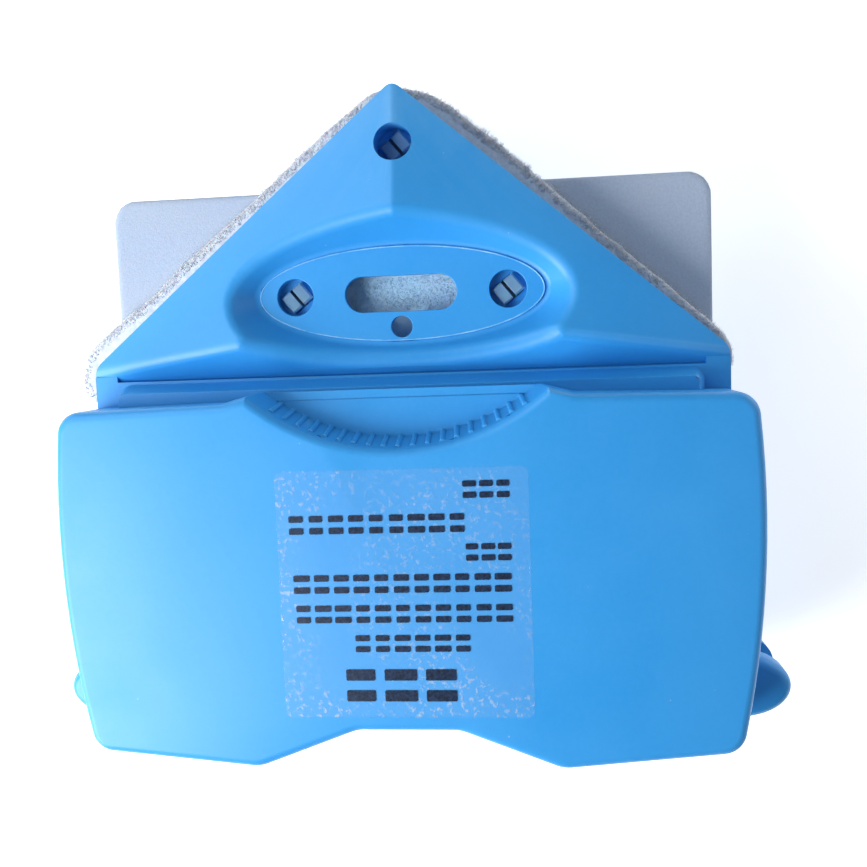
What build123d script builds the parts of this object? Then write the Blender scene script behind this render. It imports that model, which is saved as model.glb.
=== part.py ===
from build123d import *
import math
import os

# Magnetic cleaner for both sides of a window pane, lying closed: the outer half below, a foam
# spacer, and the inner, hand-held half above. X runs across the object, +Y towards the pointed
# end of the head, +Z up through the stack. The origin is the bottom centre of the whole box.

# ---------------------------------------------------------------- driving dimensions, mm
# levels, counted from a half's glass side outwards, so that both halves share them
GRIP_FACE = 34.0         # inner half, glass side to the grip's flat face
COVER_FACE = 30.0        # outer half, glass side to its flat back
SPACER_THICK = 12.0
RIM = 15.0               # edge of the head's roof, and the flat neck
GROOVE = 13.0            # bottom of the groove between head and platform
PLATFORM = 22.0          # step that the grip stands on
RECESS_FLOOR = 13.0      # flat plateau in the recess, with the holes
RECESS_TROUGH = 12.6     # the recess's bottom around the plateau
SKIRT = 4.0              # lower edge of the housing's walls
GRIP_SKIRT = 10.6        # lower edge of the grip's walls
WALL = 2.4
FIT = 0.2                # clearance between two fixed mouldings
SOFT_GAP = 0.3           # fleece and felt stay this far from the spacer

# head
APEX_Y = 93.0            # where the two slanted edges would meet
EDGE_ANGLE = 40.2        # slanted edge to the base line
SIDE_SLOPE = 17.0        # rise of the two large facets
BACK_SLOPE = 47.0        # rise of the facet beside the groove
APEX_R = 3.0
CORNER_R = 6.0
NECK_HALF = 89.5
GROOVE_Y = 13.1
RIDGE_R = 4.0

# recess in the head, and the holes in it
RECESS_Y = 35.5
RECESS_A = 41.4
RECESS_B = 14.4
PLATEAU_INSET = 1.4
RECESS_TOP = 32.0        # level where the sloping sides are measured again
RECESS_TOP_A = 60.0
RECESS_TOP_B = 26.4
RECESS_R = 4.0
RECESS_FOOT_R = 2.5
POST_HOLE_R = 5.2
APEX_POST_Y = 76.0
POST_PLACES = [(-30.0, RECESS_Y), (30.0, RECESS_Y), (0.0, APEX_POST_Y)]
WINDOW_LENGTH = 31.5
WINDOW_WIDTH = 10.0
CORD_HOLE_R = 3.0
CORD_HOLE_Y = RECESS_Y - 9.3
COLLAR_R = 7.2

# platform and tray behind the head
PLATFORM_HALF = 83.0
PLATFORM_R = 4.5
PLATFORM_DRAFT = 18.0
PLATFORM_END_Y = -80.5
TRAY_END_Y = -69.0
STEP_LEVEL = 10.3        # underside of the platform's overhang above the squeegee bar

# grip outline
GRIP_HALF = 95.0
GRIP_WIDEST_Y = -25.0
GRIP_FRONT_HALF = 93.0
GRIP_FRONT_Y = 6.0
GRIP_BEND_HALF = 47.0
GRIP_BEND_Y = 7.2
GRIP_LIP_HALF = 38.5
GRIP_LIP_Y = 9.4
GRIP_REAR_HALF = 88.4
GRIP_REAR_Y = -88.8
HORN_HALF = 41.5
HORN_Y = -93.5
REAR_NOTCH_HALF = 14.0
REAR_NOTCH_Y = -83.0
GRIP_CORNER_R = 6.5
HORN_R = 9.0
GRIP_EDGE_R = 2.6
STIFFENER_GAP = 3.5      # lower edge of the stiffeners above the platform
STIFFENER_PITCH_X = 36.0
STIFFENER_PITCH_Y = 22.0
STIFFENER_CENTRE_Y = -40.0
STIFFENER_SPAN_Y = 70.0

# front finger notch
NOTCH_R = 62.0           # at the grip's face
NOTCH_DRAFT = 16.0
NOTCH_DEEPEST_Y = -6.6
NOTCH_FLOOR = 24.0
NOTCH_FLOOR_THICK = 1.7
NOTCH_CENTRE_Y = NOTCH_DEEPEST_Y + NOTCH_R
RIB_COUNT = 19
RIB_PITCH = 3.75         # degrees about the notch's centre
RIB_R = 0.8

# pad, its foam core and its clip-on carrier
PAD_PROUD = 3.6
PAD_END_Y = 11.0
PAD_TOP = SKIRT - FIT
PAD_APEX_R = 14.0
CORE_TOP = 5.8
CARRIER_TOP = 7.6
CARRIER_GAP = 0.5        # to the housing's walls
SEAT_TOP = 9.2           # floor of each post hole, where the barbs catch
POST_LONG = 6.2
POST_SHORT = 5.6
POST_TURN = 39.0
POST_SPLIT = 0.9
BARB_OUT = 0.6
BARB_CHAMFER = 0.5
POST_TOP = 11.4

# magnets, their yoke, tray and felt
MAGNET_X = 52.0
MAGNET_Y = 50.0
MAGNET_Z = 10.0
MAGNET_CENTRE_X = 31.0
MAGNET_CENTRE_Y = -30.0
MAGNET_CHAMFER = 0.6
TRAY_FLOOR = 3.2
TRAY_TOP = 5.2
TRAY_RAIL = 1.5
TRAY_RAIL_TOP = 8.0
YOKE_X = 124.0
YOKE_Y = 60.0
YOKE_THICK = 3.0
YOKE_R = 3.0
YOKE_HOLE_R = 2.0
YOKE_HOLE_INSET = 4.0

# squeegee bar and blade
BAR_HALF = 92.0
BAR_Y = -79.2
BAR_DEPTH = 18.6
BAR_TOP = 10.0
BAR_FOOT = 2.0
BAR_EDGE_R = 3.0
EAR_OUT = 14.6
BLADE_HALF = 96.0
BLADE_THICK = 1.6
BLADE_HEAD = 4.6
BLADE_HEAD_BASE = 5.0
BLADE_TOP = 7.0
BLADE_TIP = -1.6
BLADE_TIP_HALF = 0.5

# spacer and label
SPACER_HALF = 87.5
SPACER_FRONT_Y = 66.8
SPACER_REAR_Y = -66.0
SPACER_R = 5.0
SPACER_EDGE_R = 0.8
LABEL_SIDE = 67.5
LABEL_X = 0.6
LABEL_Y = -45.0
LABEL_R = 2.0
LABEL_THICK = 0.15

# screws
SCREW_R = 1.5
SCREW_HEAD_R = 2.8
SCREW_HEAD = 1.8
SCREW_CROWN_R = 0.8
DRIVE_LENGTH = 3.2       # the cross recess in a screw's head
DRIVE_WIDTH = 0.7
DRIVE_DEPTH = 1.0
BOSS_R = 4.0
GRIP_SCREWS = [(x, y) for x in (-69.0, 69.0) for y in (-4.0, -60.0)]
GRIP_SCREW_TOP = 27.0
BAR_SCREWS = [(x, BAR_Y + 5.0) for x in (-62.0, 0.0, 62.0)]
BAR_SCREW_TOP = 16.5

# derived levels of the closed stack
GLASS = COVER_FACE + SPACER_THICK           # glass side of the inner half, above the ground
MIRROR_LEVEL = COVER_FACE + SPACER_THICK / 2


def level(height):
    """A horizontal sketch plane, at a height above the inner half's glass side."""
    return Plane.XY.offset(GLASS + height)


def slope_plane(point, outward, angle):
    """A roof facet through a point, that falls towards the horizontal direction outward."""
    tilt = math.radians(angle)
    normal = Vector(0, 0, 1) * math.cos(tilt) + Vector(*outward) * math.sin(tilt)
    return Plane(origin=point, z_dir=normal)


# ---------------------------------------------------------------- shared forms
def head_sketch(grow, end_y, apex_r=APEX_R, corner_r=CORNER_R):
    """Pointed head outline, grown or shrunk, that ends square at end_y."""
    angle = math.radians(EDGE_ANGLE)
    apex_y = APEX_Y + grow / math.cos(angle)
    half = NECK_HALF + grow
    corner_y = apex_y - half * math.tan(angle)
    with BuildSketch(Plane.XY, mode=Mode.PRIVATE) as outline:
        with BuildLine():
            Polyline(
                (0, apex_y), (-half, corner_y), (-half, end_y),
                (half, end_y), (half, corner_y), close=True,
            )
        make_face()
        fillet(outline.vertices().group_by(Axis.Y)[-1], apex_r)
        fillet(outline.vertices().group_by(Axis.Y)[1], corner_r)
    return outline.sketch


def head_form(inset):
    """The head's three-facet roof over its outline, shrunk by an inset for the hollow."""
    edge = math.radians(EDGE_ANGLE)
    facets = [
        ((0, APEX_Y, GLASS + RIM), (-math.sin(edge), math.cos(edge), 0), SIDE_SLOPE),
        ((0, APEX_Y, GLASS + RIM), (math.sin(edge), math.cos(edge), 0), SIDE_SLOPE),
        ((0, GROOVE_Y, GLASS + GROOVE), (0, -1, 0), BACK_SLOPE),
    ]
    with BuildPart() as form:
        with BuildSketch(level(SKIRT)):
            add(head_sketch(-inset, GROOVE_Y, APEX_R - inset / 2, CORNER_R - inset))
        extrude(amount=GRIP_FACE)
        for point, outward, angle in facets:
            facet = slope_plane(point, outward, angle)
            split(bisect_by=facet.offset(-inset), keep=Keep.BOTTOM)
        if not inset:
            ridges = form.edges().filter_by(GeomType.LINE).filter_by(
                lambda edge: max((edge @ 0).Z, (edge @ 1).Z) > GLASS + RIM + 8
            )
            fillet(ridges, RIDGE_R)
    return form.part


def recess_form(grow):
    """Oval bowl with a rounded foot, sunk into the head's roof."""
    with BuildPart() as form:
        with BuildSketch(level(RECESS_TROUGH - grow)):
            with Locations((0, RECESS_Y)):
                Ellipse(RECESS_A + grow, RECESS_B + grow)
        with BuildSketch(level(RECESS_TOP - grow)):
            with Locations((0, RECESS_Y)):
                Ellipse(RECESS_TOP_A + grow, RECESS_TOP_B + grow)
        loft()
        fillet(form.edges().group_by(Axis.Z)[0], RECESS_FOOT_R)
    return form.part


def block(x0, x1, y0, y1, z0, z1):
    """A box between two corners, with heights above the inner half's glass side."""
    with BuildPart() as form:
        with BuildSketch(level(z0)):
            with Locations(((x0 + x1) / 2, (y0 + y1) / 2)):
                Rectangle(x1 - x0, y1 - y0)
        extrude(amount=z1 - z0)
    return form.part


def platform_form(grow, base):
    """The tapered platform with rounded ends; a negative grow gives its hollow."""
    with BuildPart() as form:
        with BuildSketch(level(GROOVE)):
            with Locations((0, (GROOVE_Y + PLATFORM_END_Y) / 2)):
                RectangleRounded(
                    2 * (PLATFORM_HALF + grow), GROOVE_Y - PLATFORM_END_Y + 2 * grow, PLATFORM_R
                )
        extrude(amount=PLATFORM + grow - GROOVE, taper=PLATFORM_DRAFT)
        with BuildSketch(level(base)):
            with Locations((0, (GROOVE_Y + PLATFORM_END_Y) / 2)):
                RectangleRounded(
                    2 * (PLATFORM_HALF + grow), GROOVE_Y - PLATFORM_END_Y + 2 * grow, PLATFORM_R
                )
        extrude(amount=GROOVE - base)
    return form.part


def grip_sketch(shrink):
    """Barrel outline of the grip, with a raised front lip and a concave rear edge."""
    with BuildSketch(Plane.XY, mode=Mode.PRIVATE) as outline:
        with BuildLine():
            Polyline(
                (-GRIP_FRONT_HALF, GRIP_FRONT_Y), (-GRIP_BEND_HALF, GRIP_BEND_Y),
                (-GRIP_LIP_HALF, GRIP_LIP_Y), (GRIP_LIP_HALF, GRIP_LIP_Y),
                (GRIP_BEND_HALF, GRIP_BEND_Y), (GRIP_FRONT_HALF, GRIP_FRONT_Y),
            )
            ThreePointArc(
                (GRIP_FRONT_HALF, GRIP_FRONT_Y), (GRIP_HALF, GRIP_WIDEST_Y),
                (GRIP_REAR_HALF, GRIP_REAR_Y),
            )
            Polyline(
                (GRIP_REAR_HALF, GRIP_REAR_Y), (HORN_HALF, HORN_Y),
                (REAR_NOTCH_HALF, REAR_NOTCH_Y), (-REAR_NOTCH_HALF, REAR_NOTCH_Y),
                (-HORN_HALF, HORN_Y), (-GRIP_REAR_HALF, GRIP_REAR_Y),
            )
            ThreePointArc(
                (-GRIP_REAR_HALF, GRIP_REAR_Y), (-GRIP_HALF, GRIP_WIDEST_Y),
                (-GRIP_FRONT_HALF, GRIP_FRONT_Y),
            )
        make_face()
        corners = outline.vertices().filter_by(lambda v: abs(v.X) > GRIP_REAR_HALF - 1)
        fillet(corners, GRIP_CORNER_R)
        soft = outline.vertices().filter_by(
            lambda v: v.Y < REAR_NOTCH_Y + 1 and abs(v.X) < HORN_HALF + 1
        )
        fillet(soft, HORN_R)
        if shrink:
            offset(amount=-shrink)
    return outline.sketch


def notch_form(grow, floor, face):
    """Cone-walled finger notch, open towards the head, between its floor and the grip's face."""
    foot_r = NOTCH_R - (face - floor) * math.tan(math.radians(NOTCH_DRAFT))
    with BuildPart() as form:
        with BuildSketch(level(floor)):
            with Locations((0, NOTCH_CENTRE_Y)):
                Circle(foot_r + grow)
        with BuildSketch(level(face)):
            with Locations((0, NOTCH_CENTRE_Y)):
                Circle(NOTCH_R + grow)
        loft()
    return form.part


def bolt_holes(places, radius, z0, z1):
    """Upright round holes or studs at a list of places."""
    with BuildPart() as form:
        with BuildSketch(level(z0)):
            with Locations(*places):
                Circle(radius)
        extrude(amount=z1 - z0)
    return form.part


def post_form(out, z0, z1):
    """The three snap posts, each drawn longer by out at both of its barbed sides."""
    with BuildPart() as form:
        with BuildSketch(level(z0)):
            with Locations(*[Location((x, y, 0), POST_TURN) for x, y in POST_PLACES]):
                Rectangle(POST_LONG + 2 * out, POST_SHORT)
        extrude(amount=z1 - z0)
    return form.part


# ---------------------------------------------------------------- housing
neck_front_y = GROOVE_Y + (RIM - GROOVE) / math.tan(math.radians(BACK_SLOPE))
bay_half = NECK_HALF - WALL
bay_front_y = GROOVE_Y - WALL
bay_rear_y = TRAY_END_Y + WALL

head_solid = head_form(0)
head_hollow = head_form(WALL)
recess_cut = recess_form(0)
recess_shell = recess_form(WALL)
platform_solid = platform_form(0, STEP_LEVEL)
platform_hollow = platform_form(-WALL, STEP_LEVEL + WALL)
tray_solid = block(-NECK_HALF, NECK_HALF, TRAY_END_Y, neck_front_y, SKIRT, RIM)
tray_hollow = block(-bay_half, bay_half, bay_rear_y, bay_front_y, SKIRT, RIM - WALL)
well_half = PLATFORM_HALF - 2 * WALL
well_hollow = block(-well_half, well_half, bay_rear_y, bay_front_y, SKIRT, RIM)
collars = bolt_holes(POST_PLACES, COLLAR_R, CARRIER_TOP + FIT, RIM + 8)
post_holes = bolt_holes(POST_PLACES, POST_HOLE_R, SEAT_TOP, GRIP_FACE)
cord_hole = bolt_holes([(0, CORD_HOLE_Y)], CORD_HOLE_R, SKIRT, GRIP_FACE)
grip_screw_holes = bolt_holes(GRIP_SCREWS, SCREW_R + FIT, SKIRT, GRIP_FACE)
bar_bosses = bolt_holes(BAR_SCREWS, BOSS_R, STEP_LEVEL, PLATFORM - WALL / 2)
bar_screw_holes = bolt_holes(BAR_SCREWS, SCREW_R, STEP_LEVEL - 1, BAR_SCREW_TOP)
with BuildPart() as tray_clear:
    add(block(-PLATFORM_HALF, PLATFORM_HALF, GROOVE_Y, neck_front_y + 1, GROOVE, RIM + 1))
    back_facet = slope_plane((0, GROOVE_Y, GLASS + GROOVE), (0, -1, 0), BACK_SLOPE)
    split(bisect_by=back_facet, keep=Keep.TOP)

with BuildPart() as plateau:
    with BuildSketch(level(RECESS_TROUGH)):
        with Locations((0, RECESS_Y)):
            Ellipse(RECESS_A - PLATEAU_INSET, RECESS_B - PLATEAU_INSET)
    extrude(amount=RECESS_FLOOR - RECESS_TROUGH)

with BuildPart() as window_cut:
    with BuildSketch(level(SKIRT)):
        with Locations((0, RECESS_Y)):
            SlotOverall(WINDOW_LENGTH, WINDOW_WIDTH)
    extrude(amount=GRIP_FACE)

with BuildPart() as post_openings:
    with BuildSketch(level(SKIRT)):
        with Locations(*[Location((x, y, 0), POST_TURN) for x, y in POST_PLACES]):
            Rectangle(POST_LONG + 2 * FIT, POST_SHORT + 2 * FIT)
    extrude(amount=SEAT_TOP - SKIRT + 1)

with BuildPart() as head_space:
    add(head_hollow)
    add(recess_shell, mode=Mode.SUBTRACT)

with BuildPart() as collar_rings:
    add(collars)
    add(head_solid, mode=Mode.INTERSECT)
    add(recess_cut, mode=Mode.SUBTRACT)

with BuildPart() as housing:
    add(head_solid)
    add(recess_cut, mode=Mode.SUBTRACT)
    recess_rim = housing.edges().filter_by(
        lambda edge: edge.bounding_box().min.Z > GLASS + RECESS_TROUGH + RECESS_FOOT_R
        and edge.bounding_box().min.Y > GROOVE_Y + 2
        and edge.bounding_box().max.Y < RECESS_Y + RECESS_TOP_B
        and edge.geom_type in (GeomType.BSPLINE, GeomType.OTHER, GeomType.ELLIPSE)
    )
    fillet(recess_rim, RECESS_R)
    add(tray_solid)
    add(tray_clear.part, mode=Mode.SUBTRACT)
    add(platform_solid)
    add(head_space.part, mode=Mode.SUBTRACT)
    add(tray_hollow, mode=Mode.SUBTRACT)
    add(well_hollow, mode=Mode.SUBTRACT)
    add(platform_hollow, mode=Mode.SUBTRACT)
    add(plateau.part)
    add(collar_rings.part)
    add(bar_bosses)
    for cut in (
        post_holes, post_openings.part, cord_hole, window_cut.part, grip_screw_holes,
        bar_screw_holes,
    ):
        add(cut, mode=Mode.SUBTRACT)


# ---------------------------------------------------------------- grip and outer cover
def cover_form(face, ribbed):
    """A hollow cover for the platform: rounded block, finger notches, bosses and stiffeners."""
    notch = notch_form(0, NOTCH_FLOOR, face)
    notch_wall = notch_form(WALL, NOTCH_FLOOR - NOTCH_FLOOR_THICK, face)
    bosses = bolt_holes(GRIP_SCREWS, BOSS_R, PLATFORM + FIT / 2, face - WALL)
    pilots = bolt_holes(GRIP_SCREWS, SCREW_R, PLATFORM, GRIP_SCREW_TOP)
    platform_gap = platform_form(FIT, GRIP_SKIRT - 1)
    neck_gap = block(
        -NECK_HALF - FIT, NECK_HALF + FIT, TRAY_END_Y - FIT, neck_front_y, GRIP_SKIRT - 1,
        RIM + FIT,
    )
    with BuildPart() as hollow:
        with BuildSketch(level(GRIP_SKIRT)):
            add(grip_sketch(WALL))
        extrude(amount=face - WALL - GRIP_SKIRT)
        add(notch_wall, mode=Mode.SUBTRACT)
        with BuildSketch(level(PLATFORM + STIFFENER_GAP)):
            with Locations((0, STIFFENER_CENTRE_Y)):
                with GridLocations(0, STIFFENER_PITCH_Y, 1, 3):
                    Rectangle(2 * GRIP_HALF, WALL / 2)
                with GridLocations(STIFFENER_PITCH_X, 0, 4, 1):
                    Rectangle(WALL / 2, STIFFENER_SPAN_Y)
        extrude(amount=face - WALL - PLATFORM - STIFFENER_GAP, mode=Mode.SUBTRACT)
    with BuildPart() as form:
        with BuildSketch(level(GRIP_SKIRT)):
            add(grip_sketch(0))
        extrude(amount=face - GRIP_SKIRT)
        add(notch, mode=Mode.SUBTRACT)
        rim = form.edges().filter_by(
            lambda edge: edge.bounding_box().min.Z > GLASS + face - 0.01
        )
        fillet(rim, GRIP_EDGE_R)
        add(hollow.part, mode=Mode.SUBTRACT)
        add(bosses)
        add(pilots, mode=Mode.SUBTRACT)
        add(platform_gap, mode=Mode.SUBTRACT)
        add(neck_gap, mode=Mode.SUBTRACT)
        if ribbed:
            add(notch_ribs(face))
    return form.part


def notch_ribs(face):
    """Upright half-round ribs that follow the notch's sloping wall."""
    wall_r = NOTCH_R - (face - NOTCH_FLOOR) * math.tan(math.radians(NOTCH_DRAFT))
    rise = face - GRIP_EDGE_R - NOTCH_FLOOR
    with BuildPart() as form:
        for index in range(RIB_COUNT):
            turn = -90 + (index - (RIB_COUNT - 1) / 2) * RIB_PITCH
            foot = Vector(math.cos(math.radians(turn)), math.sin(math.radians(turn)), 0)
            base = foot * wall_r + Vector(0, NOTCH_CENTRE_Y, GLASS + NOTCH_FLOOR - 0.5)
            lean = foot * math.tan(math.radians(NOTCH_DRAFT)) + Vector(0, 0, 1)
            with BuildSketch(Plane(origin=base, z_dir=lean)):
                Circle(RIB_R)
            extrude(amount=rise + 0.5)
    return form.part


grip_cover = cover_form(GRIP_FACE, True)
back_cover = cover_form(COVER_FACE, False)

with BuildPart() as label:
    with BuildSketch(level(GRIP_FACE)):
        with Locations((LABEL_X, LABEL_Y)):
            RectangleRounded(LABEL_SIDE, LABEL_SIDE, LABEL_R)
    extrude(amount=LABEL_THICK)

# ---------------------------------------------------------------- pad, core and carrier
with BuildPart() as cleaning_pad:
    with BuildSketch(level(SOFT_GAP)):
        add(head_sketch(PAD_PROUD, PAD_END_Y, PAD_APEX_R, CORNER_R + PAD_PROUD))
    extrude(amount=PAD_TOP - SOFT_GAP)

with BuildPart() as pad_core:
    with BuildSketch(level(PAD_TOP)):
        add(head_sketch(-WALL - CARRIER_GAP, GROOVE_Y + CARRIER_GAP, APEX_R - 1, CORNER_R - WALL))
    extrude(amount=CORE_TOP - PAD_TOP)
    add(bolt_holes([(0, CORD_HOLE_Y)], CORD_HOLE_R + 1, PAD_TOP, CORE_TOP), mode=Mode.SUBTRACT)

with BuildPart() as post_slots:
    with BuildSketch(level(CARRIER_TOP)):
        with Locations(*[Location((x, y, 0), POST_TURN) for x, y in POST_PLACES]):
            Rectangle(POST_SPLIT, POST_SHORT + 1)
    extrude(amount=POST_TOP - CARRIER_TOP)

with BuildPart() as pad_carrier:
    with BuildSketch(level(CORE_TOP)):
        add(head_sketch(-WALL - CARRIER_GAP, GROOVE_Y + CARRIER_GAP, APEX_R - 1, CORNER_R - WALL))
        with Locations((0, RECESS_Y)):
            SlotOverall(WINDOW_LENGTH + 4, WINDOW_WIDTH + 4, mode=Mode.SUBTRACT)
        with Locations((0, CORD_HOLE_Y)):
            Circle(CORD_HOLE_R + 1, mode=Mode.SUBTRACT)
    extrude(amount=CARRIER_TOP - CORE_TOP)
    add(post_form(0, CARRIER_TOP, SEAT_TOP + FIT))
    add(post_form(BARB_OUT, SEAT_TOP + FIT, POST_TOP))
    barb_tops = pad_carrier.edges().group_by(Axis.Z)[-1]
    chamfer(barb_tops, BARB_CHAMFER)
    add(post_slots.part, mode=Mode.SUBTRACT)

# ---------------------------------------------------------------- magnets, yoke, tray and felt
magnet_parts = {}
for side, sign in (("left", -1), ("right", 1)):
    with BuildPart() as magnet:
        with BuildSketch(level(TRAY_TOP)):
            with Locations((sign * MAGNET_CENTRE_X, MAGNET_CENTRE_Y)):
                Rectangle(MAGNET_X, MAGNET_Y)
        extrude(amount=MAGNET_Z)
        chamfer(magnet.edges(), MAGNET_CHAMFER)
    magnet_parts[side] = magnet.part

with BuildPart() as yoke_plate:
    with BuildSketch(level(TRAY_TOP + MAGNET_Z)):
        with Locations((0, MAGNET_CENTRE_Y)):
            RectangleRounded(YOKE_X, YOKE_Y, YOKE_R)
        with Locations((0, MAGNET_CENTRE_Y)):
            with GridLocations(YOKE_X - 2 * YOKE_HOLE_INSET, YOKE_Y - 2 * YOKE_HOLE_INSET, 2, 2):
                Circle(YOKE_HOLE_R, mode=Mode.SUBTRACT)
    extrude(amount=YOKE_THICK)

tray_half = bay_half - FIT
with BuildPart() as magnet_tray:
    with BuildSketch(level(TRAY_FLOOR)):
        with Locations((0, (bay_rear_y + bay_front_y) / 2)):
            Rectangle(2 * tray_half, bay_front_y - bay_rear_y - 2 * FIT)
    extrude(amount=TRAY_TOP - TRAY_FLOOR)
    with BuildSketch(level(TRAY_TOP)):
        for sign in (-1, 1):
            with Locations((sign * MAGNET_CENTRE_X, MAGNET_CENTRE_Y)):
                Rectangle(MAGNET_X + 2 * TRAY_RAIL + FIT, MAGNET_Y + 2 * TRAY_RAIL + FIT)
                Rectangle(MAGNET_X + FIT, MAGNET_Y + FIT, mode=Mode.SUBTRACT)
    extrude(amount=TRAY_RAIL_TOP - TRAY_TOP)

with BuildPart() as face_felt:
    with BuildSketch(level(SOFT_GAP)):
        with Locations((0, (bay_rear_y + PAD_END_Y - SOFT_GAP) / 2)):
            Rectangle(2 * tray_half, PAD_END_Y - SOFT_GAP - bay_rear_y)
    extrude(amount=TRAY_FLOOR - SOFT_GAP)

# ---------------------------------------------------------------- squeegee
with BuildPart() as squeegee_bar:
    with BuildSketch(level(BAR_FOOT)):
        with Locations((0, BAR_Y)):
            Rectangle(2 * BAR_HALF, BAR_DEPTH)
        with Locations((-BAR_HALF, BAR_Y), (BAR_HALF, BAR_Y)):
            Ellipse(EAR_OUT, BAR_DEPTH / 2)
    extrude(amount=BAR_TOP - BAR_FOOT)
    ear_rims = squeegee_bar.edges().group_by(Axis.Z)[-1]
    fillet(ear_rims, BAR_EDGE_R)
    with BuildSketch(Plane.YZ.offset(-BLADE_HALF - FIT)):
        with Locations((BAR_Y, GLASS + (BLADE_HEAD_BASE + BLADE_TOP) / 2)):
            Rectangle(BLADE_HEAD + FIT, BLADE_TOP - BLADE_HEAD_BASE + FIT)
        with Locations((BAR_Y, GLASS + (BAR_FOOT + BLADE_TOP) / 2)):
            Rectangle(BLADE_THICK + FIT, BLADE_TOP - BAR_FOOT)
    extrude(amount=2 * (BLADE_HALF + FIT), mode=Mode.SUBTRACT)
    shank_holes = bolt_holes(BAR_SCREWS, SCREW_R + FIT, BAR_FOOT, BAR_TOP)
    head_seats = bolt_holes(BAR_SCREWS, SCREW_HEAD_R + FIT, BAR_FOOT, BAR_FOOT + SCREW_HEAD)
    add(shank_holes, mode=Mode.SUBTRACT)
    add(head_seats, mode=Mode.SUBTRACT)

with BuildPart() as squeegee_blade:
    with BuildSketch(Plane.YZ.offset(-BLADE_HALF)):
        with Locations((BAR_Y, GLASS + (BLADE_HEAD_BASE + BLADE_TOP) / 2)):
            Rectangle(BLADE_HEAD, BLADE_TOP - BLADE_HEAD_BASE)
        with BuildLine():
            Polyline(
                (BAR_Y - BLADE_THICK / 2, GLASS + BLADE_HEAD_BASE),
                (BAR_Y - BLADE_THICK / 2, GLASS + BAR_FOOT),
                (BAR_Y - BLADE_TIP_HALF, GLASS + BLADE_TIP),
                (BAR_Y + BLADE_TIP_HALF, GLASS + BLADE_TIP),
                (BAR_Y + BLADE_THICK / 2, GLASS + BAR_FOOT),
                (BAR_Y + BLADE_THICK / 2, GLASS + BLADE_HEAD_BASE), close=True,
            )
        make_face()
    extrude(amount=2 * BLADE_HALF)


# ---------------------------------------------------------------- screws
def screw_group(places, underside, top):
    """Pan-head screws at a list of places; the head is on the glass side."""
    with BuildPart() as form:
        with BuildSketch(level(underside - SCREW_HEAD)):
            with Locations(*places):
                Circle(SCREW_HEAD_R)
        extrude(amount=SCREW_HEAD)
        with BuildSketch(level(underside)):
            with Locations(*places):
                Circle(SCREW_R)
        extrude(amount=top - underside)
        crowns = form.edges().group_by(Axis.Z)[0]
        fillet(crowns, SCREW_CROWN_R)
        with BuildSketch(level(underside - SCREW_HEAD)):
            with Locations(*places):
                Rectangle(DRIVE_LENGTH, DRIVE_WIDTH)
                Rectangle(DRIVE_WIDTH, DRIVE_LENGTH)
        extrude(amount=DRIVE_DEPTH, mode=Mode.SUBTRACT)
    return form.part


cover_screws = screw_group(GRIP_SCREWS, PLATFORM - WALL, GRIP_SCREW_TOP)
bar_screws = screw_group(BAR_SCREWS, BAR_FOOT + SCREW_HEAD, BAR_SCREW_TOP)

# ---------------------------------------------------------------- spacer
with BuildPart() as spacer_sheet:
    with BuildSketch(Plane.XY.offset(COVER_FACE)):
        with Locations((0, (SPACER_FRONT_Y + SPACER_REAR_Y) / 2)):
            RectangleRounded(2 * SPACER_HALF, SPACER_FRONT_Y - SPACER_REAR_Y, SPACER_R)
    extrude(amount=SPACER_THICK)
    fillet(spacer_sheet.edges().group_by(Axis.Z)[-1], SPACER_EDGE_R)
    fillet(spacer_sheet.edges().group_by(Axis.Z)[0], SPACER_EDGE_R)

# ---------------------------------------------------------------- the two halves
shared = {
    "housing": housing.part,
    "cleaning_pad": cleaning_pad.part,
    "pad_core": pad_core.part,
    "pad_carrier": pad_carrier.part,
    "magnet_left": magnet_parts["left"],
    "magnet_right": magnet_parts["right"],
    "yoke_plate": yoke_plate.part,
    "magnet_tray": magnet_tray.part,
    "face_felt": face_felt.part,
    "squeegee_bar": squeegee_bar.part,
    "squeegee_blade": squeegee_blade.part,
    "bar_screws": bar_screws,
    "cover_screws": cover_screws,
}
pieces = {"spacer_sheet": spacer_sheet.part}
for name, shape in shared.items():
    pieces["inner_" + name] = shape
    pieces["outer_" + name] = mirror(shape, about=Plane.XY.offset(MIRROR_LEVEL))
pieces["inner_grip"] = grip_cover
pieces["inner_label"] = label.part
pieces["outer_cover"] = mirror(back_cover, about=Plane.XY.offset(MIRROR_LEVEL))

os.makedirs("parts", exist_ok=True)
for name, shape in pieces.items():
    shape.label = name
    export_step(shape, "parts/" + name + ".step")
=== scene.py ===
import bpy
import bmesh
import math
import numpy as np
from mathutils import Matrix, Vector, noise


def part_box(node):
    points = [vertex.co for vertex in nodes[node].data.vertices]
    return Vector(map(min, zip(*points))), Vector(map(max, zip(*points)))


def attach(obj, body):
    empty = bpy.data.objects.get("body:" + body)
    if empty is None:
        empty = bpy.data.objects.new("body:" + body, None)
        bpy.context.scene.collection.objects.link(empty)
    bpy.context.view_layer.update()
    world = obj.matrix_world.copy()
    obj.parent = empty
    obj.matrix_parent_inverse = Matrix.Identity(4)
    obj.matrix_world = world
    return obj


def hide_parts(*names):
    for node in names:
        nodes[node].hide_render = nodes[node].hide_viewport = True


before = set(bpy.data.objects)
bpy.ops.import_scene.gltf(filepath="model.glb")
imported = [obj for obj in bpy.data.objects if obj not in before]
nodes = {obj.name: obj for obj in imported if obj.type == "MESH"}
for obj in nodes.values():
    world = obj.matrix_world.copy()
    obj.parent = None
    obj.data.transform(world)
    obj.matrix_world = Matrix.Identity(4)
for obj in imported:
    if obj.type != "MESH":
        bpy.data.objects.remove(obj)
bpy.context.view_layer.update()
MM = 0.001
HALVES = ("inner", "outer")

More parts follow.
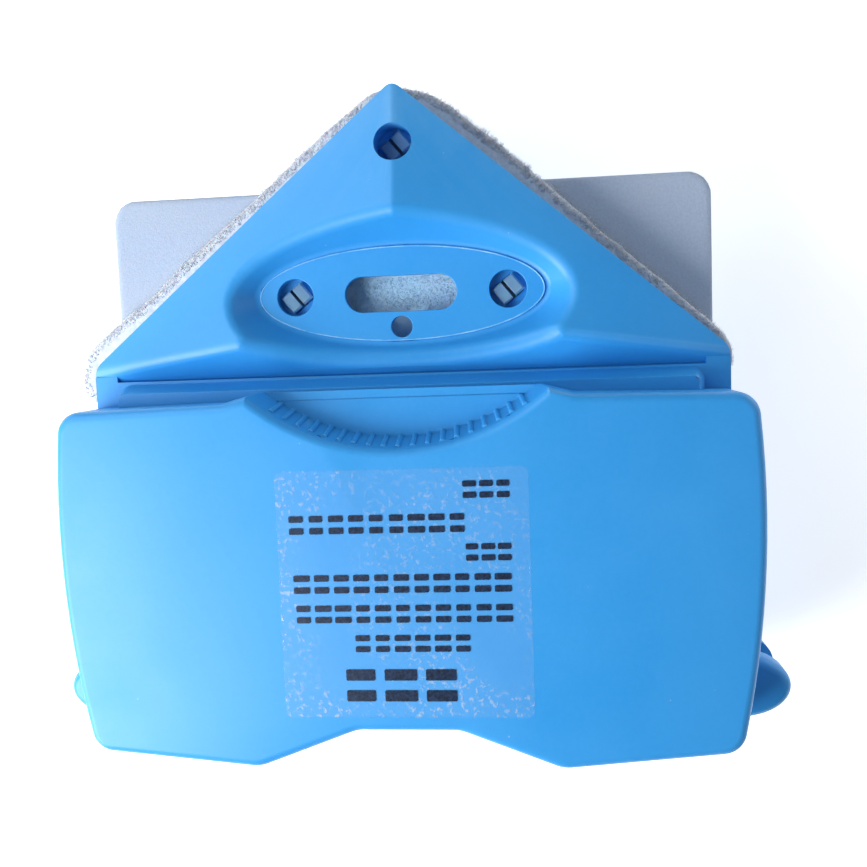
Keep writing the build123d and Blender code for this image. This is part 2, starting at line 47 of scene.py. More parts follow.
# ---------------------------------------------------------------- sizes that the frame doesn't hold
EDGE_ANGLE = math.radians(40.2)      # slanted edge of the head, to the base line
PAD_APEX_R = 14 * MM
PAD_CORNER_R = 9.6 * MM
PAD_REAR_R = 2 * MM
CORE_RADII = (2 * MM, 3.6 * MM, 1 * MM)   # the core's point, side corners and rear corners
FELT_R = 1.5 * MM
SPACER_R = 6.5 * MM
FILM_R = 2 * MM
SOFT_GAP = 0.3 * MM                  # between a pad's face and the glass side
WINDOW_Y = 35.5 * MM                 # the window in the head, and its half sizes
WINDOW_X = 17.0 * MM
WINDOW_SIDE = 6.5 * MM
SHARP_ANGLE = math.radians(28)       # edges that turn more stay sharp
BREAK_ANGLE = math.radians(50)       # edges that turn more are broken
FLAT_ANGLE = math.radians(0.05)      # faces that meet at less are one flat face
SEAM = 2e-6                          # vertices this close are one
BROKEN = 0.2 * MM                    # width of the broken edges of the large mouldings,
BROKEN_SMALL = 0.15 * MM             # of the tray and bar, of the pad carrier and of the yoke
BROKEN_CARRIER = 0.12 * MM
BROKEN_YOKE = 0.1 * MM
BULGE = [                            # how far the fleece swells out: X and amount in mm
    (-95, 6.2), (-88, 5.0), (-76, 3.9), (-55, 3.2), (-25, 2.8), (-6, 1.4), (4, 0.6), (15, 2.5),
    (30, 2.3), (50, 1.1), (75, 0.5), (92, -0.8),
]
REAR_BULGE = ((-91, -85), (3.4, 0.0))   # the same along its rear edge: two places, two amounts
PLATEAU_X = 40.0 * MM                # the flat plateau in the recess: half sizes, and its
PLATEAU_Y = 13.0 * MM                # level from the middle of the spacer
PLATEAU_LEVEL = 19.0 * MM
MIDDLE_Z = 36 * MM                   # the middle of the spacer
ROOF_REAR_Y = 13.5 * MM              # the head's roof: in front of here, and at least
ROOF_LEVEL = 19.3 * MM               # this far from the middle
BEAD_R = 0.2 * MM                    # the plateau's bead, and how deep it sits
BEAD_SINK = 0.05 * MM

# the fleece's edge; depths and reaches in mm
REAR_FACING = -0.8                   # an outline whose outward Y is less faces the rear
FRINGE_LEFT = -88 * MM               # the rear edge has a fringe only left of here
FRINGE_PASSES = 24
FRINGE_DEPTH = (-0.1, 3.0)           # a fibre's root, inwards from the slab's side
FRINGE_TOP = 0.7                     # roots deeper than this are on the slab's top
FRINGE_ROOT = 0.93                   # level of those roots, as a share of the slab
FRINGE_PEAK = (20 * MM, 24 * MM)     # where the fringe is longest: middle X and spread
FRINGE_CLEAR = (0.15, 6)             # a tip's least and greatest distance from the glass
PILE_COUNT = 9000
FUZZ_COUNT = 2600
LINT_COUNT = 7000

# the label's film and print; shares are of a row's height or a block's pitch
FILM_CELLS = 96
FILM_LIFT = 0.02 * MM                # between the grip and the film
FILM_THICK = 0.05 * MM
BUBBLE_RISE = 0.4                    # height of a bubble in mm, for its noise, and the most
BUBBLE_TOP = 0.09                    # that it may be
BAR_WIDTH = (0.66, 0.84)
BAR_LIFTS = (-0.3, 0.3)
BAR_HEIGHT = 0.32
BAR_THICK = 0.02                     # in mm
BAR_CORNER_R = 0.35 * MM
PRINT_LIFT = 0.03 * MM


# ---------------------------------------------------------------- node helpers
def material(name, **sockets):
    """A new material with its shader's constants set; returns the material and its tree."""
    mat = bpy.data.materials.new(name)
    mat.use_nodes = True
    shader = mat.node_tree.nodes["Principled BSDF"]
    for socket, value in sockets.items():
        shader.inputs[socket.replace("_", " ")].default_value = value
    return mat, mat.node_tree


def add(tree, kind, inputs=None, **settings):
    """A shader node; inputs are constants or the outputs of other nodes."""
    new = tree.nodes.new("ShaderNode" + kind)
    for name, value in settings.items():
        setattr(new, name, value)
    for socket, value in (inputs or {}).items():
        if isinstance(value, bpy.types.NodeSocket):
            tree.links.new(value, new.inputs[socket])
        else:
            new.inputs[socket].default_value = value
    return new


def position(tree, stretch=None):
    """Object coordinates in metres, which every piece shares; stretch scales them per axis."""
    place = add(tree, "TexCoord").outputs["Object"]
    if stretch is None:
        return place
    return add(tree, "Mapping", {"Vector": place, "Scale": stretch}).outputs["Vector"]


def grain(tree, scale, detail=3.0, stretch=None, roughness=0.5):
    """Noise with about scale features in a metre."""
    return add(tree, "TexNoise", {
        "Vector": position(tree, stretch), "Scale": scale, "Detail": detail,
        "Roughness": roughness,
    }).outputs["Fac"]


def remap(tree, value, low, high, new_low, new_high, smooth=False):
    """Value from low..high taken to new_low..new_high."""
    kind = "SMOOTHSTEP" if smooth else "LINEAR"
    return add(tree, "MapRange", {
        "Value": value, "From Min": low, "From Max": high, "To Min": new_low, "To Max": new_high,
    }, interpolation_type=kind).outputs["Result"]


def math_node(tree, operation, first, second=0.0):
    return add(tree, "Math", {0: first, 1: second}, operation=operation).outputs[0]


def mix(tree, factor, first, second):
    """Colour mix; first and second are colours or outputs."""
    new = add(tree, "Mix", data_type="RGBA")
    for index, value in ((0, factor), (6, first), (7, second)):
        if isinstance(value, bpy.types.NodeSocket):
            tree.links.new(value, new.inputs[index])
        else:
            new.inputs[index].default_value = value
    return new.outputs[2]


def bump(tree, height, distance, strength=1.0, normal=None):
    inputs = {"Height": height, "Distance": distance, "Strength": strength}
    if normal is not None:
        inputs["Normal"] = normal
    return add(tree, "Bump", inputs).outputs["Normal"]


def plug(tree, **outputs):
    """Links outputs to the shader's sockets."""
    shader = tree.nodes["Principled BSDF"]
    for socket, value in outputs.items():
        tree.links.new(value, shader.inputs[socket.replace("_", " ")])


# ---------------------------------------------------------------- materials
def blue_plastic():
    """Glossy moulded plastic: orange peel, faint scuffs and dust; sharp edges painted paler, partly
    wear and partly a painted highlight, and creases painted darker as painted shade.
    """
    mat, tree = material(
        "blue_abs", IOR=1.5, Coat_Weight=0.1, Coat_Roughness=0.25,
        Subsurface_Weight=0.06, Subsurface_Scale=0.002,
    )
    cloudy = remap(tree, grain(tree, 22, 4), 0.3, 0.7, 0.0, 1.0)
    colour = mix(tree, cloudy, (0.030, 0.325, 0.76, 1), (0.042, 0.35, 0.79, 1))
    mottle = remap(tree, grain(tree, 700, 2), 0.35, 0.65, 0.0, 0.10)
    colour = mix(tree, mottle, colour, (0.07, 0.41, 0.87, 1))
    pointiness_for_wear_and_painted_light = add(tree, "NewGeometry").outputs["Pointiness"]
    # sharp edges lightened toward pale blue: partly wear, partly a painted highlight
    edge = remap(tree, pointiness_for_wear_and_painted_light, 0.53, 0.62, 0.0, 0.35, smooth=True)
    edge_wear_and_painted_highlight = math_node(tree, "MULTIPLY", edge, grain(tree, 160, 5))
    colour = mix(tree, edge_wear_and_painted_highlight, colour, (0.42, 0.72, 0.95, 1))
    # creases darkened toward deep blue: painted shade
    painted_crease_shade = remap(tree, pointiness_for_wear_and_painted_light, 0.40, 0.485, 0.2, 0.0, smooth=True)
    colour = mix(tree, painted_crease_shade, colour, (0.02, 0.10, 0.26, 1))
    spot = add(tree, "TexVoronoi", {"Vector": position(tree), "Scale": 210.0})
    dust_size = remap(tree, grain(tree, 90, 1), 0.55, 0.8, 0.0, 0.09)
    dust = math_node(tree, "LESS_THAN", spot.outputs["Distance"], dust_size)
    dust = math_node(tree, "MULTIPLY", dust, 0.35)
    colour = mix(tree, dust, colour, (0.55, 0.72, 0.85, 1))
    smudge = remap(tree, grain(tree, 45, 6, roughness=0.6), 0.35, 0.7, 0.38, 0.49)
    rub = remap(tree, grain(tree, 1.0, 3, stretch=(60, 1900, 60)), 0.66, 0.78, 0.0, 0.16)
    roughness = math_node(tree, "ADD", smudge, math_node(tree, "ADD", rub, dust))
    peel = bump(tree, grain(tree, 420, 2), 0.00003, 0.8)
    lines = bump(tree, grain(tree, 1.0, 4, stretch=(1500, 70, 400)), 0.00001, 0.5, peel)
    plug(tree, Base_Color=colour, Roughness=roughness, Normal=lines)
    return mat


def painted_glint_plastic():
    """The same plastic, paler in patches and smooth: a painted glint along a raised edge."""
    mat, tree = material("blue_abs_painted_glint", IOR=1.5, Coat_Weight=0.3, Coat_Roughness=0.1)
    glint_patches = remap(tree, grain(tree, 180, 4), 0.35, 0.7, 0.0, 1.0)
    colour = mix(tree, glint_patches, (0.10, 0.45, 0.86, 1), (0.34, 0.68, 0.96, 1))
    rough = remap(tree, grain(tree, 600, 3), 0.3, 0.7, 0.22, 0.4)
    smooth = bump(tree, grain(tree, 1500, 2), 0.00002)
    plug(tree, Base_Color=colour, Roughness=rough, Normal=smooth)
    return mat


def white_plastic():
    """Milky moulded nylon of the clip-on carrier, coloured a dark blue-grey: painted shade and
    painted blue light of the holes it sits in.
    """
    mat, tree = material(
        "milky_nylon", IOR=1.53, Subsurface_Weight=0.5, Subsurface_Scale=0.004,
        Transmission_Weight=0.12,
    )
    # dark blue-grey colour: painted shade and blue light of the post holes on milky nylon
    colour = mix(tree, grain(tree, 300, 4), (0.13, 0.28, 0.46, 1), (0.25, 0.45, 0.64, 1))
    rough = remap(tree, grain(tree, 200, 4), 0.3, 0.7, 0.28, 0.5)
    moulded = bump(tree, grain(tree, 900, 2), 0.00003)
    plug(tree, Base_Color=colour, Roughness=rough, Normal=moulded)
    return mat


def fibre_material(name, light, dark, scale):
    """Soft fibres with sheen, lighter and darker in tufts."""
    mat, tree = material(
        name, Roughness=0.9, Sheen_Weight=0.45, Sheen_Roughness=0.5, Specular_IOR_Level=0.15,
        Subsurface_Weight=0.15, Subsurface_Scale=0.003,
    )
    tuft = remap(tree, grain(tree, scale, 4), 0.32, 0.68, 0.0, 1.0)
    stain = remap(tree, grain(tree, 60, 3), 0.45, 0.75, 0.0, 0.25)
    colour = mix(tree, tuft, dark, light)
    colour = mix(tree, stain, colour, (0.60, 0.58, 0.55, 1))
    plug(tree, Base_Color=colour, Normal=bump(tree, grain(tree, 2200, 3), 0.0001, 0.6))
    return mat


def foam_material(name, light, dark, cell, depth, pore_shade):
    """Cellular foam: pores as bump, their middles painted darker as painted shade, with mottled
    colour and a few dark specks. cell is the number of cells in a metre, depth how deep they are,
    and pore_shade how dark the painted shade in the pores is."""
    mat, tree = material(
        name, Roughness=0.88, Specular_IOR_Level=0.25, Subsurface_Weight=0.1,
        Subsurface_Scale=0.002, Sheen_Weight=0.1,
    )
    pores = add(tree, "TexVoronoi", {"Vector": position(tree), "Scale": cell, "Randomness": 1.0})
    pit = remap(tree, pores.outputs["Distance"], 0.0, 0.55, 1.0, 0.0, smooth=True)
    fleck = remap(tree, grain(tree, cell * 0.8, 4), 0.35, 0.65, 0.0, 1.0)
    colour = mix(tree, fleck, dark, light)
    # pore middles darkened: painted shade in the pits
    colour = mix(tree, math_node(tree, "MULTIPLY", pit, pore_shade), colour, (0.30, 0.32, 0.38, 1))
    cloud = remap(tree, grain(tree, 30, 4), 0.4, 0.7, 0.0, 0.25)
    colour = mix(tree, cloud, colour, (0.52, 0.55, 0.62, 1))
    speck = add(tree, "TexVoronoi", {"Vector": position(tree), "Scale": 75.0})
    speck_size = remap(tree, grain(tree, 50, 1), 0.55, 0.8, 0.0, 0.055)
    speck = math_node(tree, "LESS_THAN", speck.outputs["Distance"], speck_size)
    colour = mix(tree, math_node(tree, "MULTIPLY", speck, 0.7), colour, (0.12, 0.16, 0.24, 1))
    rough = bump(tree, grain(tree, cell * 1.7, 3), depth * 0.6)
    plug(tree, Base_Color=colour, Normal=bump(tree, pit, -depth, 0.8, rough))
    return mat


def rubber():
    """Matt black rubber with fine flow lines along the blade and pale chalking."""
    mat, tree = material("blade_rubber", Specular_IOR_Level=0.35)
    chalk = remap(tree, grain(tree, 160, 5), 0.5, 0.8, 0.0, 0.5)
    colour = mix(tree, chalk, (0.018, 0.018, 0.02, 1), (0.10, 0.10, 0.105, 1))
    flow = grain(tree, 1.0, 3, stretch=(40, 1800, 1800))
    rough = remap(tree, grain(tree, 300, 3), 0.3, 0.7, 0.5, 0.75)
    plug(tree, Base_Color=colour, Roughness=rough, Normal=bump(tree, flow, 0.00004, 0.7))
    return mat


def metal(name, light, dark, low, high, stretch, depth):
    """Plated metal: brushed or grainy, clouded, with dull patches; low and high are its
    roughness."""
    mat, tree = material(name, Metallic=1.0)
    cloud = remap(tree, grain(tree, 120, 5), 0.35, 0.7, 0.0, 1.0)
    brush = grain(tree, 1.0, 4, stretch=stretch)
    rough = remap(tree, math_node(tree, "MULTIPLY", brush, cloud), 0.1, 0.6, low, high)
    plug(
        tree, Base_Color=mix(tree, cloud, light, dark), Roughness=rough,
        Normal=bump(tree, brush, depth, 0.6),
    )
    return mat


def film():
    """Clear self-adhesive film: glossy, nearly invisible, silvery where air is trapped."""
    mat, tree = material("clear_film", IOR=1.45, Coat_Weight=0.6, Coat_Roughness=0.06)
    specks = remap(tree, grain(tree, 620, 5, roughness=0.7), 0.53, 0.64, 0.0, 1.0)
    patch = remap(tree, grain(tree, 42, 3), 0.38, 0.58, 0.0, 1.0, smooth=True)
    place = add(tree, "SeparateXYZ", {0: position(tree)})
    left = remap(tree, place.outputs["X"], -0.037, -0.012, 1.0, 0.25, smooth=True)
    low = remap(tree, place.outputs["Y"], -0.080, -0.050, 1.0, 0.45, smooth=True)
    patch = math_node(tree, "MULTIPLY", patch, math_node(tree, "MAXIMUM", left, low))
    air = math_node(tree, "MULTIPLY", specks, patch)
    alpha = remap(tree, air, 0.0, 1.0, 0.035, 0.42)
    rough = remap(tree, air, 0.0, 1.0, 0.12, 0.5)
    colour = mix(tree, air, (0.62, 0.80, 0.95, 1), (0.62, 0.82, 0.96, 1))
    plug(
        tree, Base_Color=colour, Alpha=alpha, Roughness=rough,
        Normal=bump(tree, math_node(tree, "ADD", specks, grain(tree, 35, 2)), 0.00008, 0.5),
    )
    return mat


def ink():
    """Printed ink, a little thin and uneven."""
    mat, tree = material("print_ink", Roughness=0.35)
    thin = remap(tree, grain(tree, 1400, 4), 0.35, 0.7, 0.0, 1.0)
    colour = mix(tree, thin, (0.006, 0.012, 0.035, 1), (0.02, 0.05, 0.12, 1))
    plug(tree, Base_Color=colour, Alpha=remap(tree, grain(tree, 900, 3), 0.3, 0.75, 0.97, 0.72))
    return mat


BLUE = blue_plastic()
MILKY = white_plastic()
FLEECE = fibre_material("white_fleece", (0.77, 0.79, 0.84, 1), (0.64, 0.66, 0.71, 1), 900)
FELT = fibre_material("needle_felt", (0.74, 0.74, 0.75, 1), (0.58, 0.58, 0.60, 1), 1400)
# light blue backing colour: painted blue light of the housing's window on grey-white fibres
BACKING = fibre_material("pad_backing", (0.56, 0.80, 0.98, 1), (0.47, 0.73, 0.94, 1), 1100)
SPACER_FOAM = foam_material(
    "eva_foam", (0.47, 0.55, 0.69, 1), (0.42, 0.495, 0.63, 1),
    cell=1700, depth=0.00006, pore_shade=0.08,
)
BEAD = painted_glint_plastic()
RUBBER = rubber()
YOKE = metal(
    "zinc_sheet", (0.62, 0.63, 0.65, 1), (0.45, 0.46, 0.48, 1), low=0.28, high=0.5,
    stretch=(40, 1500, 40), depth=0.00002,
)
SCREW = metal(
    "zinc_screw", (0.66, 0.66, 0.68, 1), (0.42, 0.42, 0.44, 1), low=0.2, high=0.45,
    stretch=(900, 900, 900), depth=0.00002,
)
MAGNET = metal(
    "nickel_magnet", (0.62, 0.60, 0.56, 1), (0.40, 0.39, 0.37, 1), low=0.22, high=0.5,
    stretch=(600, 600, 600), depth=0.00005,
)
FILM = film()
INK = ink()


# ---------------------------------------------------------------- carried-over CAD nodes
def edge_group():
    """Geometry nodes that join the tessellation's seams, leave only real edges sharp, and weigh
    the edges that a bevel may break. The head's ridges, which the CAD already rounds, get none."""
    group = bpy.data.node_groups.new("join_seams", "GeometryNodeTree")
    group.interface.new_socket("Geometry", in_out="INPUT", socket_type="NodeSocketGeometry")
    group.interface.new_socket("Geometry", in_out="OUTPUT", socket_type="NodeSocketGeometry")

    def link(source, target):
        group.links.new(source, target)

    def compare(operation, value, limit):
        test = group.nodes.new("FunctionNodeCompare")
        test.operation = operation
        test.inputs["B"].default_value = limit
        link(value, test.inputs["A"])
        return test.outputs["Result"]

    def both(first, second, operation="AND"):
        logic = group.nodes.new("FunctionNodeBooleanMath")
        logic.operation = operation
        link(first, logic.inputs[0])
        link(second, logic.inputs[1])
        return logic.outputs[0]

    angle = group.nodes.new("GeometryNodeInputMeshEdgeAngle").outputs["Unsigned Angle"]
    place = group.nodes.new("ShaderNodeSeparateXYZ")
    link(group.nodes.new("GeometryNodeInputPosition").outputs["Position"], place.inputs[0])
    from_middle = group.nodes.new("ShaderNodeMath")
    from_middle.operation = "SUBTRACT"
    from_middle.inputs[1].default_value = MIDDLE_Z
    link(place.outputs["Z"], from_middle.inputs[0])
    away = group.nodes.new("ShaderNodeMath")
    away.operation = "ABSOLUTE"
    link(from_middle.outputs[0], away.inputs[0])
    roof = both(
        compare("GREATER_THAN", place.outputs["Y"], ROOF_REAR_Y),
        compare("GREATER_THAN", away.outputs[0], ROOF_LEVEL),
    )
    weight = group.nodes.new("GeometryNodeStoreNamedAttribute")
    weight.data_type = "FLOAT"
    weight.domain = "EDGE"
    weight.inputs["Name"].default_value = "bevel_weight_edge"
    link(both(compare("GREATER_THAN", angle, BREAK_ANGLE), roof, "NIMPLY"), weight.inputs["Value"])

    bare = group.nodes.new("GeometryNodeRemoveAttribute")
    bare.inputs["Name"].default_value = "custom_normal"
    weld = group.nodes.new("GeometryNodeMergeByDistance")
    weld.inputs["Distance"].default_value = SEAM
    smooth = group.nodes.new("GeometryNodeSetShadeSmooth")
    smooth.domain = "FACE"
    sharp = group.nodes.new("GeometryNodeSetShadeSmooth")
    sharp.domain = "EDGE"
    sharp.inputs["Shade Smooth"].default_value = False
    link(compare("GREATER_THAN", angle, SHARP_ANGLE), sharp.inputs["Selection"])
    chain = [group.nodes.new("NodeGroupInput"), bare, weld, smooth, sharp, weight]
    chain.append(group.nodes.new("NodeGroupOutput"))
    for first, second in zip(chain, chain[1:]):
        link(first.outputs["Geometry"], second.inputs["Geometry"])
    return group


JOIN_SEAMS = edge_group()


def dress(name, mat, width=0.0, flatten=True):
    """Gives a CAD node its material, joined seams and, with a width, broken edges; flatten first
    turns each flat area into one face."""
    piece = nodes[name]
    for slot in piece.material_slots:
        slot.material = mat
    seams = piece.modifiers.new("seams", "NODES")
    seams.node_group = JOIN_SEAMS
    if width and flatten:
        flats = piece.modifiers.new("flats", "DECIMATE")
        flats.decimate_type = "DISSOLVE"
        flats.angle_limit = FLAT_ANGLE
    if width:
        soft = piece.modifiers.new("broken_edges", "BEVEL")
        soft.width = width
        soft.segments = 2
        soft.limit_method = "WEIGHT"
        soft.use_clamp_overlap = False
        soft.harden_normals = True
        soft.miter_outer = "MITER_ARC"


for half in HALVES:
    dress(half + "_housing", BLUE, BROKEN, flatten=False)
    dress(half + "_magnet_tray", BLUE, BROKEN_SMALL)
    dress(half + "_squeegee_bar", BLUE, BROKEN_SMALL)
    dress(half + "_pad_carrier", MILKY, BROKEN_CARRIER)
    dress(half + "_squeegee_blade", RUBBER)
    dress(half + "_yoke_plate", YOKE, BROKEN_YOKE)
    dress(half + "_magnet_left", MAGNET)
    dress(half + "_magnet_right", MAGNET)
    dress(half + "_bar_screws", SCREW)
    dress(half + "_cover_screws", SCREW)
dress("inner_grip", BLUE, BROKEN)
dress("outer_cover", BLUE, BROKEN)


# ---------------------------------------------------------------- mesh helpers
def placed(name, data):
    """A new object in the scene for a mesh, a lamp or a camera."""
    thing = bpy.data.objects.new(name, data)
    bpy.context.scene.collection.objects.link(thing)
    return thing


def new_piece(name, mesh, mat, body):
    """An object for a finished mesh, riding on a body; returns it."""
    piece = placed(name, mesh)
    piece.data.materials.clear()
    piece.data.materials.append(mat)
    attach(piece, body)
    return piece


def finished(form, name):
    """Turns a bmesh into a mesh and frees it."""
    mesh = bpy.data.meshes.new(name)
    form.to_mesh(mesh)
    form.free()
    return mesh


def shade_smooth(mesh):
    """Shades every face smooth; returns the mesh."""
    mesh.polygons.foreach_set("use_smooth", [True] * len(mesh.polygons))
    return mesh


def rounded(corners, radii, steps=8):
    """A closed polygon whose corners are turned into arcs of the given radii."""
    points = []
    for index, radius in enumerate(radii):
        corner = Vector(corners[index])
        back = (Vector(corners[index - 1]) - corner).normalized()
        ahead = (Vector(corners[(index + 1) % len(corners)]) - corner).normalized()
        half = back.angle(ahead) / 2
        centre = corner + (back + ahead).normalized() * radius / math.sin(half)
        start = corner + back * radius / math.tan(half) - centre
        end = corner + ahead * radius / math.tan(half) - centre
        for step in range(steps + 1):
            share = step / steps
            points.append(centre + start.lerp(end, share).normalized() * radius)
    return points


def head_outline(node, apex_r, corner_r, rear_r):
    """A pointed pad's outline, from its CAD box; counter-clockwise from its rear left corner."""
    low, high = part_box(node)
    apex = high.y + apex_r * (1 / math.cos(EDGE_ANGLE) - 1)
    shoulder = apex - high.x * math.tan(EDGE_ANGLE)
    corners = [
        (low.x, low.y), (high.x, low.y), (high.x, shoulder), (0, apex), (low.x, shoulder),
    ]
    return rounded(corners, [rear_r, rear_r, corner_r, apex_r, corner_r])


def box_outline(node, radius):
    """A rounded rectangle that fills a CAD node's box."""
    low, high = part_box(node)
    corners = [(low.x, low.y), (high.x, low.y), (high.x, high.y), (low.x, high.y)]
    return rounded(corners, [radius] * 4)


def prism(points, low, high):
    """A closed mesh over an outline between two levels."""
    form = bmesh.new()
    base = form.faces.new([form.verts.new((p.x, p.y, low)) for p in points])
    top = bmesh.ops.extrude_face_region(form, geom=[base])
    lifted = [v for v in top["geom"] if isinstance(v, bmesh.types.BMVert)]
    bmesh.ops.translate(form, verts=lifted, vec=(0, 0, high - low))
    bmesh.ops.recalc_face_normals(form, faces=form.faces)
    return finished(form, "prism")


def softened(mesh, voxel, rounds):
    """The mesh on an even grid, with its edges worn round."""
    work = placed("work", mesh)
    remesh = work.modifiers.new("grid", "REMESH")
    remesh.mode = "VOXEL"
    remesh.voxel_size = voxel
    remesh.use_smooth_shade = True
    ease = work.modifiers.new("ease", "SMOOTH")
    ease.factor = 0.5
    ease.iterations = rounds
    bpy.context.view_layer.update()
    soft = bpy.data.meshes.new_from_object(
        work.evaluated_get(bpy.context.evaluated_depsgraph_get())
    )
    bpy.data.objects.remove(work)
    return soft


def coordinates(mesh):
    flat = np.empty(len(mesh.vertices) * 3)
    mesh.vertices.foreach_get("co", flat)
    return flat.reshape(-1, 3)


def store(mesh, points):
    mesh.vertices.foreach_set("co", points.astype(np.float32).ravel())
    mesh.update()


def lumpy(mesh, low, high, coarse, fine, coarse_depth, fine_depth, seed):
    """Lifts the top and bottom by noise; a point never leaves the low..high levels."""
    points = coordinates(mesh)
    middle = (low + high) / 2
    for point in points:
        place = Vector(point) + Vector((seed, 0, 0))
        lift = noise.noise(place * coarse) * coarse_depth + noise.noise(place * fine) * fine_depth
        point[2] += math.copysign(1, point[2] - middle) * (lift - coarse_depth / 2)
    points[:, 2] = np.clip(points[:, 2], low, high)
    store(mesh, points)
    return mesh


def unit(rows):
    return rows / np.linalg.norm(rows, axis=1, keepdims=True)


def fibre_mesh(roots, tips, sag, radius, rng):
    """Closed, tapered fibres, each bent by its sag halfway between root and tip."""
    count = len(roots)
    run = unit(tips - roots)
    side = unit(np.cross(run, rng.normal(size=(count, 3))))
    other = np.cross(run, side)
    middle = (roots + tips) / 2 + sag
    turns = [math.radians(120 * k) for k in range(3)]
    rings = []
    for centre, size in ((roots, 1.0), (middle, 0.75)):
        for turn in turns:
            offset = side * math.cos(turn) + other * math.sin(turn)
            rings.append(centre + offset * (radius * size)[:, None])
    rings.append(tips)
    verts = np.stack(rings, axis=1).reshape(-1, 3)
    pattern = [(2, 1, 0)]
    for k in range(3):
        after = (k + 1) % 3
        pattern += [(k, after, 3 + after), (k, 3 + after, 3 + k), (3 + k, 3 + after, 6)]
    base = (np.arange(count) * 7)[:, None, None]
    faces = (base + np.array(pattern)[None]).reshape(-1, 3)
    mesh = bpy.data.meshes.new("fibres")
    mesh.from_pydata(verts.tolist(), [], faces.tolist())
    return shade_smooth(mesh)


def walk(points, spacing):
    """Evenly spaced places along a closed outline, with their outward directions."""
    places, outward = [], []
    for index, point in enumerate(points):
        run = points[(index + 1) % len(points)] - point
        if run.length < 1e-7:
            continue
        count = max(1, round(run.length / spacing))
        for step in range(count):
            places.append(point + run * (step + 0.5) / count)
            outward.append(Vector((run.y, -run.x)).normalized())
    return np.array(places), np.array(outward)


def speckle(places, scale, seed=0.0):
    """Noise from about -1 to 1 at each place."""
    return np.array([noise.noise(Vector((x * scale, y * scale, seed))) for x, y in places])


def swollen(places, outward, seed):
    """Pushes the pad's outline out unevenly, most at its left corner; its rear edge moves only
    beside that corner."""
    across, bulge = zip(*BULGE)
    amount = np.interp(places[:, 0] / MM, across, bulge)
    amount += 0.6 * speckle(places, 70, seed) + 0.35 * speckle(places, 420, seed)
    rear = outward[:, 1] < REAR_FACING
    amount[rear] = np.interp(places[rear, 0] / MM, *REAR_BULGE)
    return places + outward * amount[:, None] * MM


def fringe(places, outward, low, high, glass, upward, rng):
    """The fleece's edge: tufts that stand out from the slab's side and from its top margin.
    glass is the level of the half's glass side, and upward is +1 or -1 away from the glass."""
    keep = (outward[:, 1] > REAR_FACING) | (places[:, 0] < FRINGE_LEFT)
    places, outward = places[keep], outward[keep]
    peak, spread = FRINGE_PEAK
    ragged = 1 + np.exp(-((places[:, 0] - peak) / spread) ** 2)
    reach = (0.8 + 0.5 * speckle(places, 140, low * 900)) * ragged * MM
    along = np.stack([-outward[:, 1], outward[:, 0]], axis=1)
    sway = 0.5 * speckle(places, 500, 3.0)
    roots, tips = [], []
    for _ in range(FRINGE_PASSES):
        count = len(places)
        depth = rng.uniform(*FRINGE_DEPTH, count) * MM
        on_top = depth > FRINGE_TOP * MM
        flat = places - outward * depth[:, None] + along * rng.normal(0, 0.3, count)[:, None] * MM
        share = np.where(on_top, FRINGE_ROOT, rng.uniform(0, 1, count))
        root = np.column_stack([flat, low + (high - low) * share])
        rise = np.where(on_top, rng.uniform(0.15, 0.8, count), rng.normal(0, 0.35, count))
        size = reach * rng.uniform(0.4, 1.1, count)
        course = outward + along * (sway + rng.normal(0, 0.3, count))[:, None]
        course /= np.linalg.norm(course, axis=1, keepdims=True)
        tip = root + np.column_stack([course * size[:, None], upward * rise * size])
        least, most = FRINGE_CLEAR
        height = np.clip(upward * (tip[:, 2] - glass), least * MM, most * MM)
        tip[:, 2] = glass + upward * height
        roots.append(root)
        tips.append(tip)
    roots, tips = np.concatenate(roots), np.concatenate(tips)
    sag = rng.normal(0, 0.18, roots.shape) * MM
    return fibre_mesh(roots, tips, sag, rng.uniform(0.04, 0.09, len(roots)) * MM, rng)


def inside(points, outline, inset):
    """Which points lie within a convex outline by at least inset."""
    keep = np.ones(len(points), bool)
    for index, corner in enumerate(outline):
        run = outline[(index + 1) % len(outline)] - corner
        if run.length < 1e-7:
            continue
        run.normalize()
        across = (points[:, 0] - corner.x) * -run.y + (points[:, 1] - corner.y) * run.x
        keep &= across > inset
    return keep


def nap(outline, inset, count, level, lift, length, radius, rng):
    """Short fibres lying about on a face; level is the face, and lift which way and how high."""
    low = np.min(outline, axis=0)
    high = np.max(outline, axis=0)
    flat = rng.uniform(low, high, (count, 2))
    flat = flat[inside(flat, outline, inset)]
    turn = rng.uniform(0, 2 * math.pi, len(flat))
    size = rng.uniform(0.5, 1.0, len(flat)) * length
    run = np.column_stack([np.cos(turn), np.sin(turn)]) * size[:, None]
    roots = np.column_stack([flat, np.full(len(flat), level)])
    tips = np.column_stack([flat + run, level + lift * rng.uniform(0.2, 0.8, len(flat))])
    sag = np.zeros(roots.shape)
    sag[:, 2] = lift * rng.uniform(0.1, 0.35, len(flat))
    return fibre_mesh(roots, tips, sag, rng.uniform(0.6, 1.0, len(flat)) * radius, rng)


